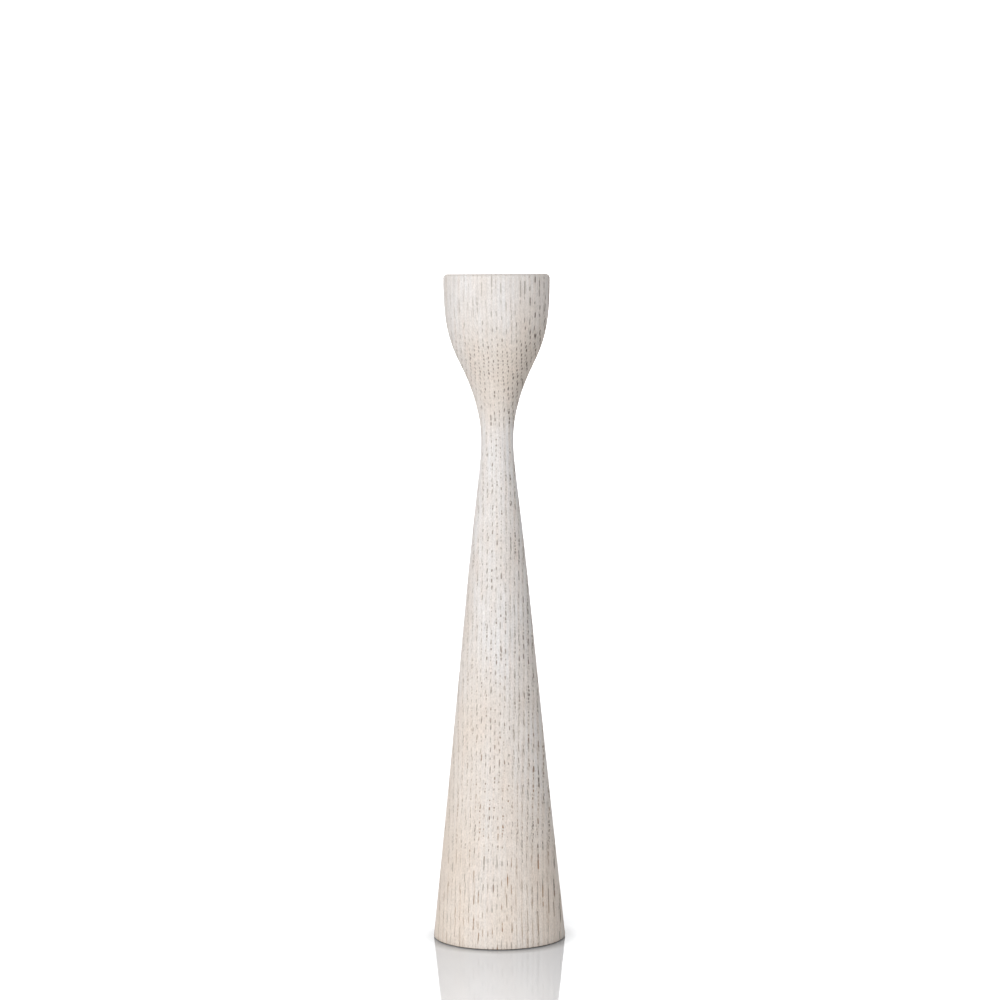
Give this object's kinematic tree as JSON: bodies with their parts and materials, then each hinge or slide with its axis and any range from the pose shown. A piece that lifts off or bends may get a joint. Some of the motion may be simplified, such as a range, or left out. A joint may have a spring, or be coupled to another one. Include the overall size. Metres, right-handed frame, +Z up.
{
  "type": "candlestick",
  "caption": "Slender turned wooden candlestick with a bell-shaped head, a lift-out metal candle cup, a flared stem and a felted foot.",
  "frame": {"origin": "centre of the foot, on the table", "axes": "+Z up along the turning axis, from the foot to the rim; X and Y lie in the table plane and the piece is the same all round"},
  "size_m": [0.0636, 0.0636, 0.32],
  "materials": {
    "whitewashed_oak": "matt white wash over open grain",
    "cup_brass": "spun satin",
    "weight_steel": "sawn and faced bar",
    "pad_felt": "pressed wool felt"
  },
  "bodies": {
    "stand": {"turned_body": "whitewashed_oak", "base_weight": "weight_steel", "felt_pad": "pad_felt"},
    "cup": {"candle_cup": "cup_brass"}
  },
  "joints": [
    {"name": "cup_lift", "type": "slide", "parent": "stand", "child": "cup", "axis": [0, 0, 1], "range_m": [0, 0.04]}
  ]
}
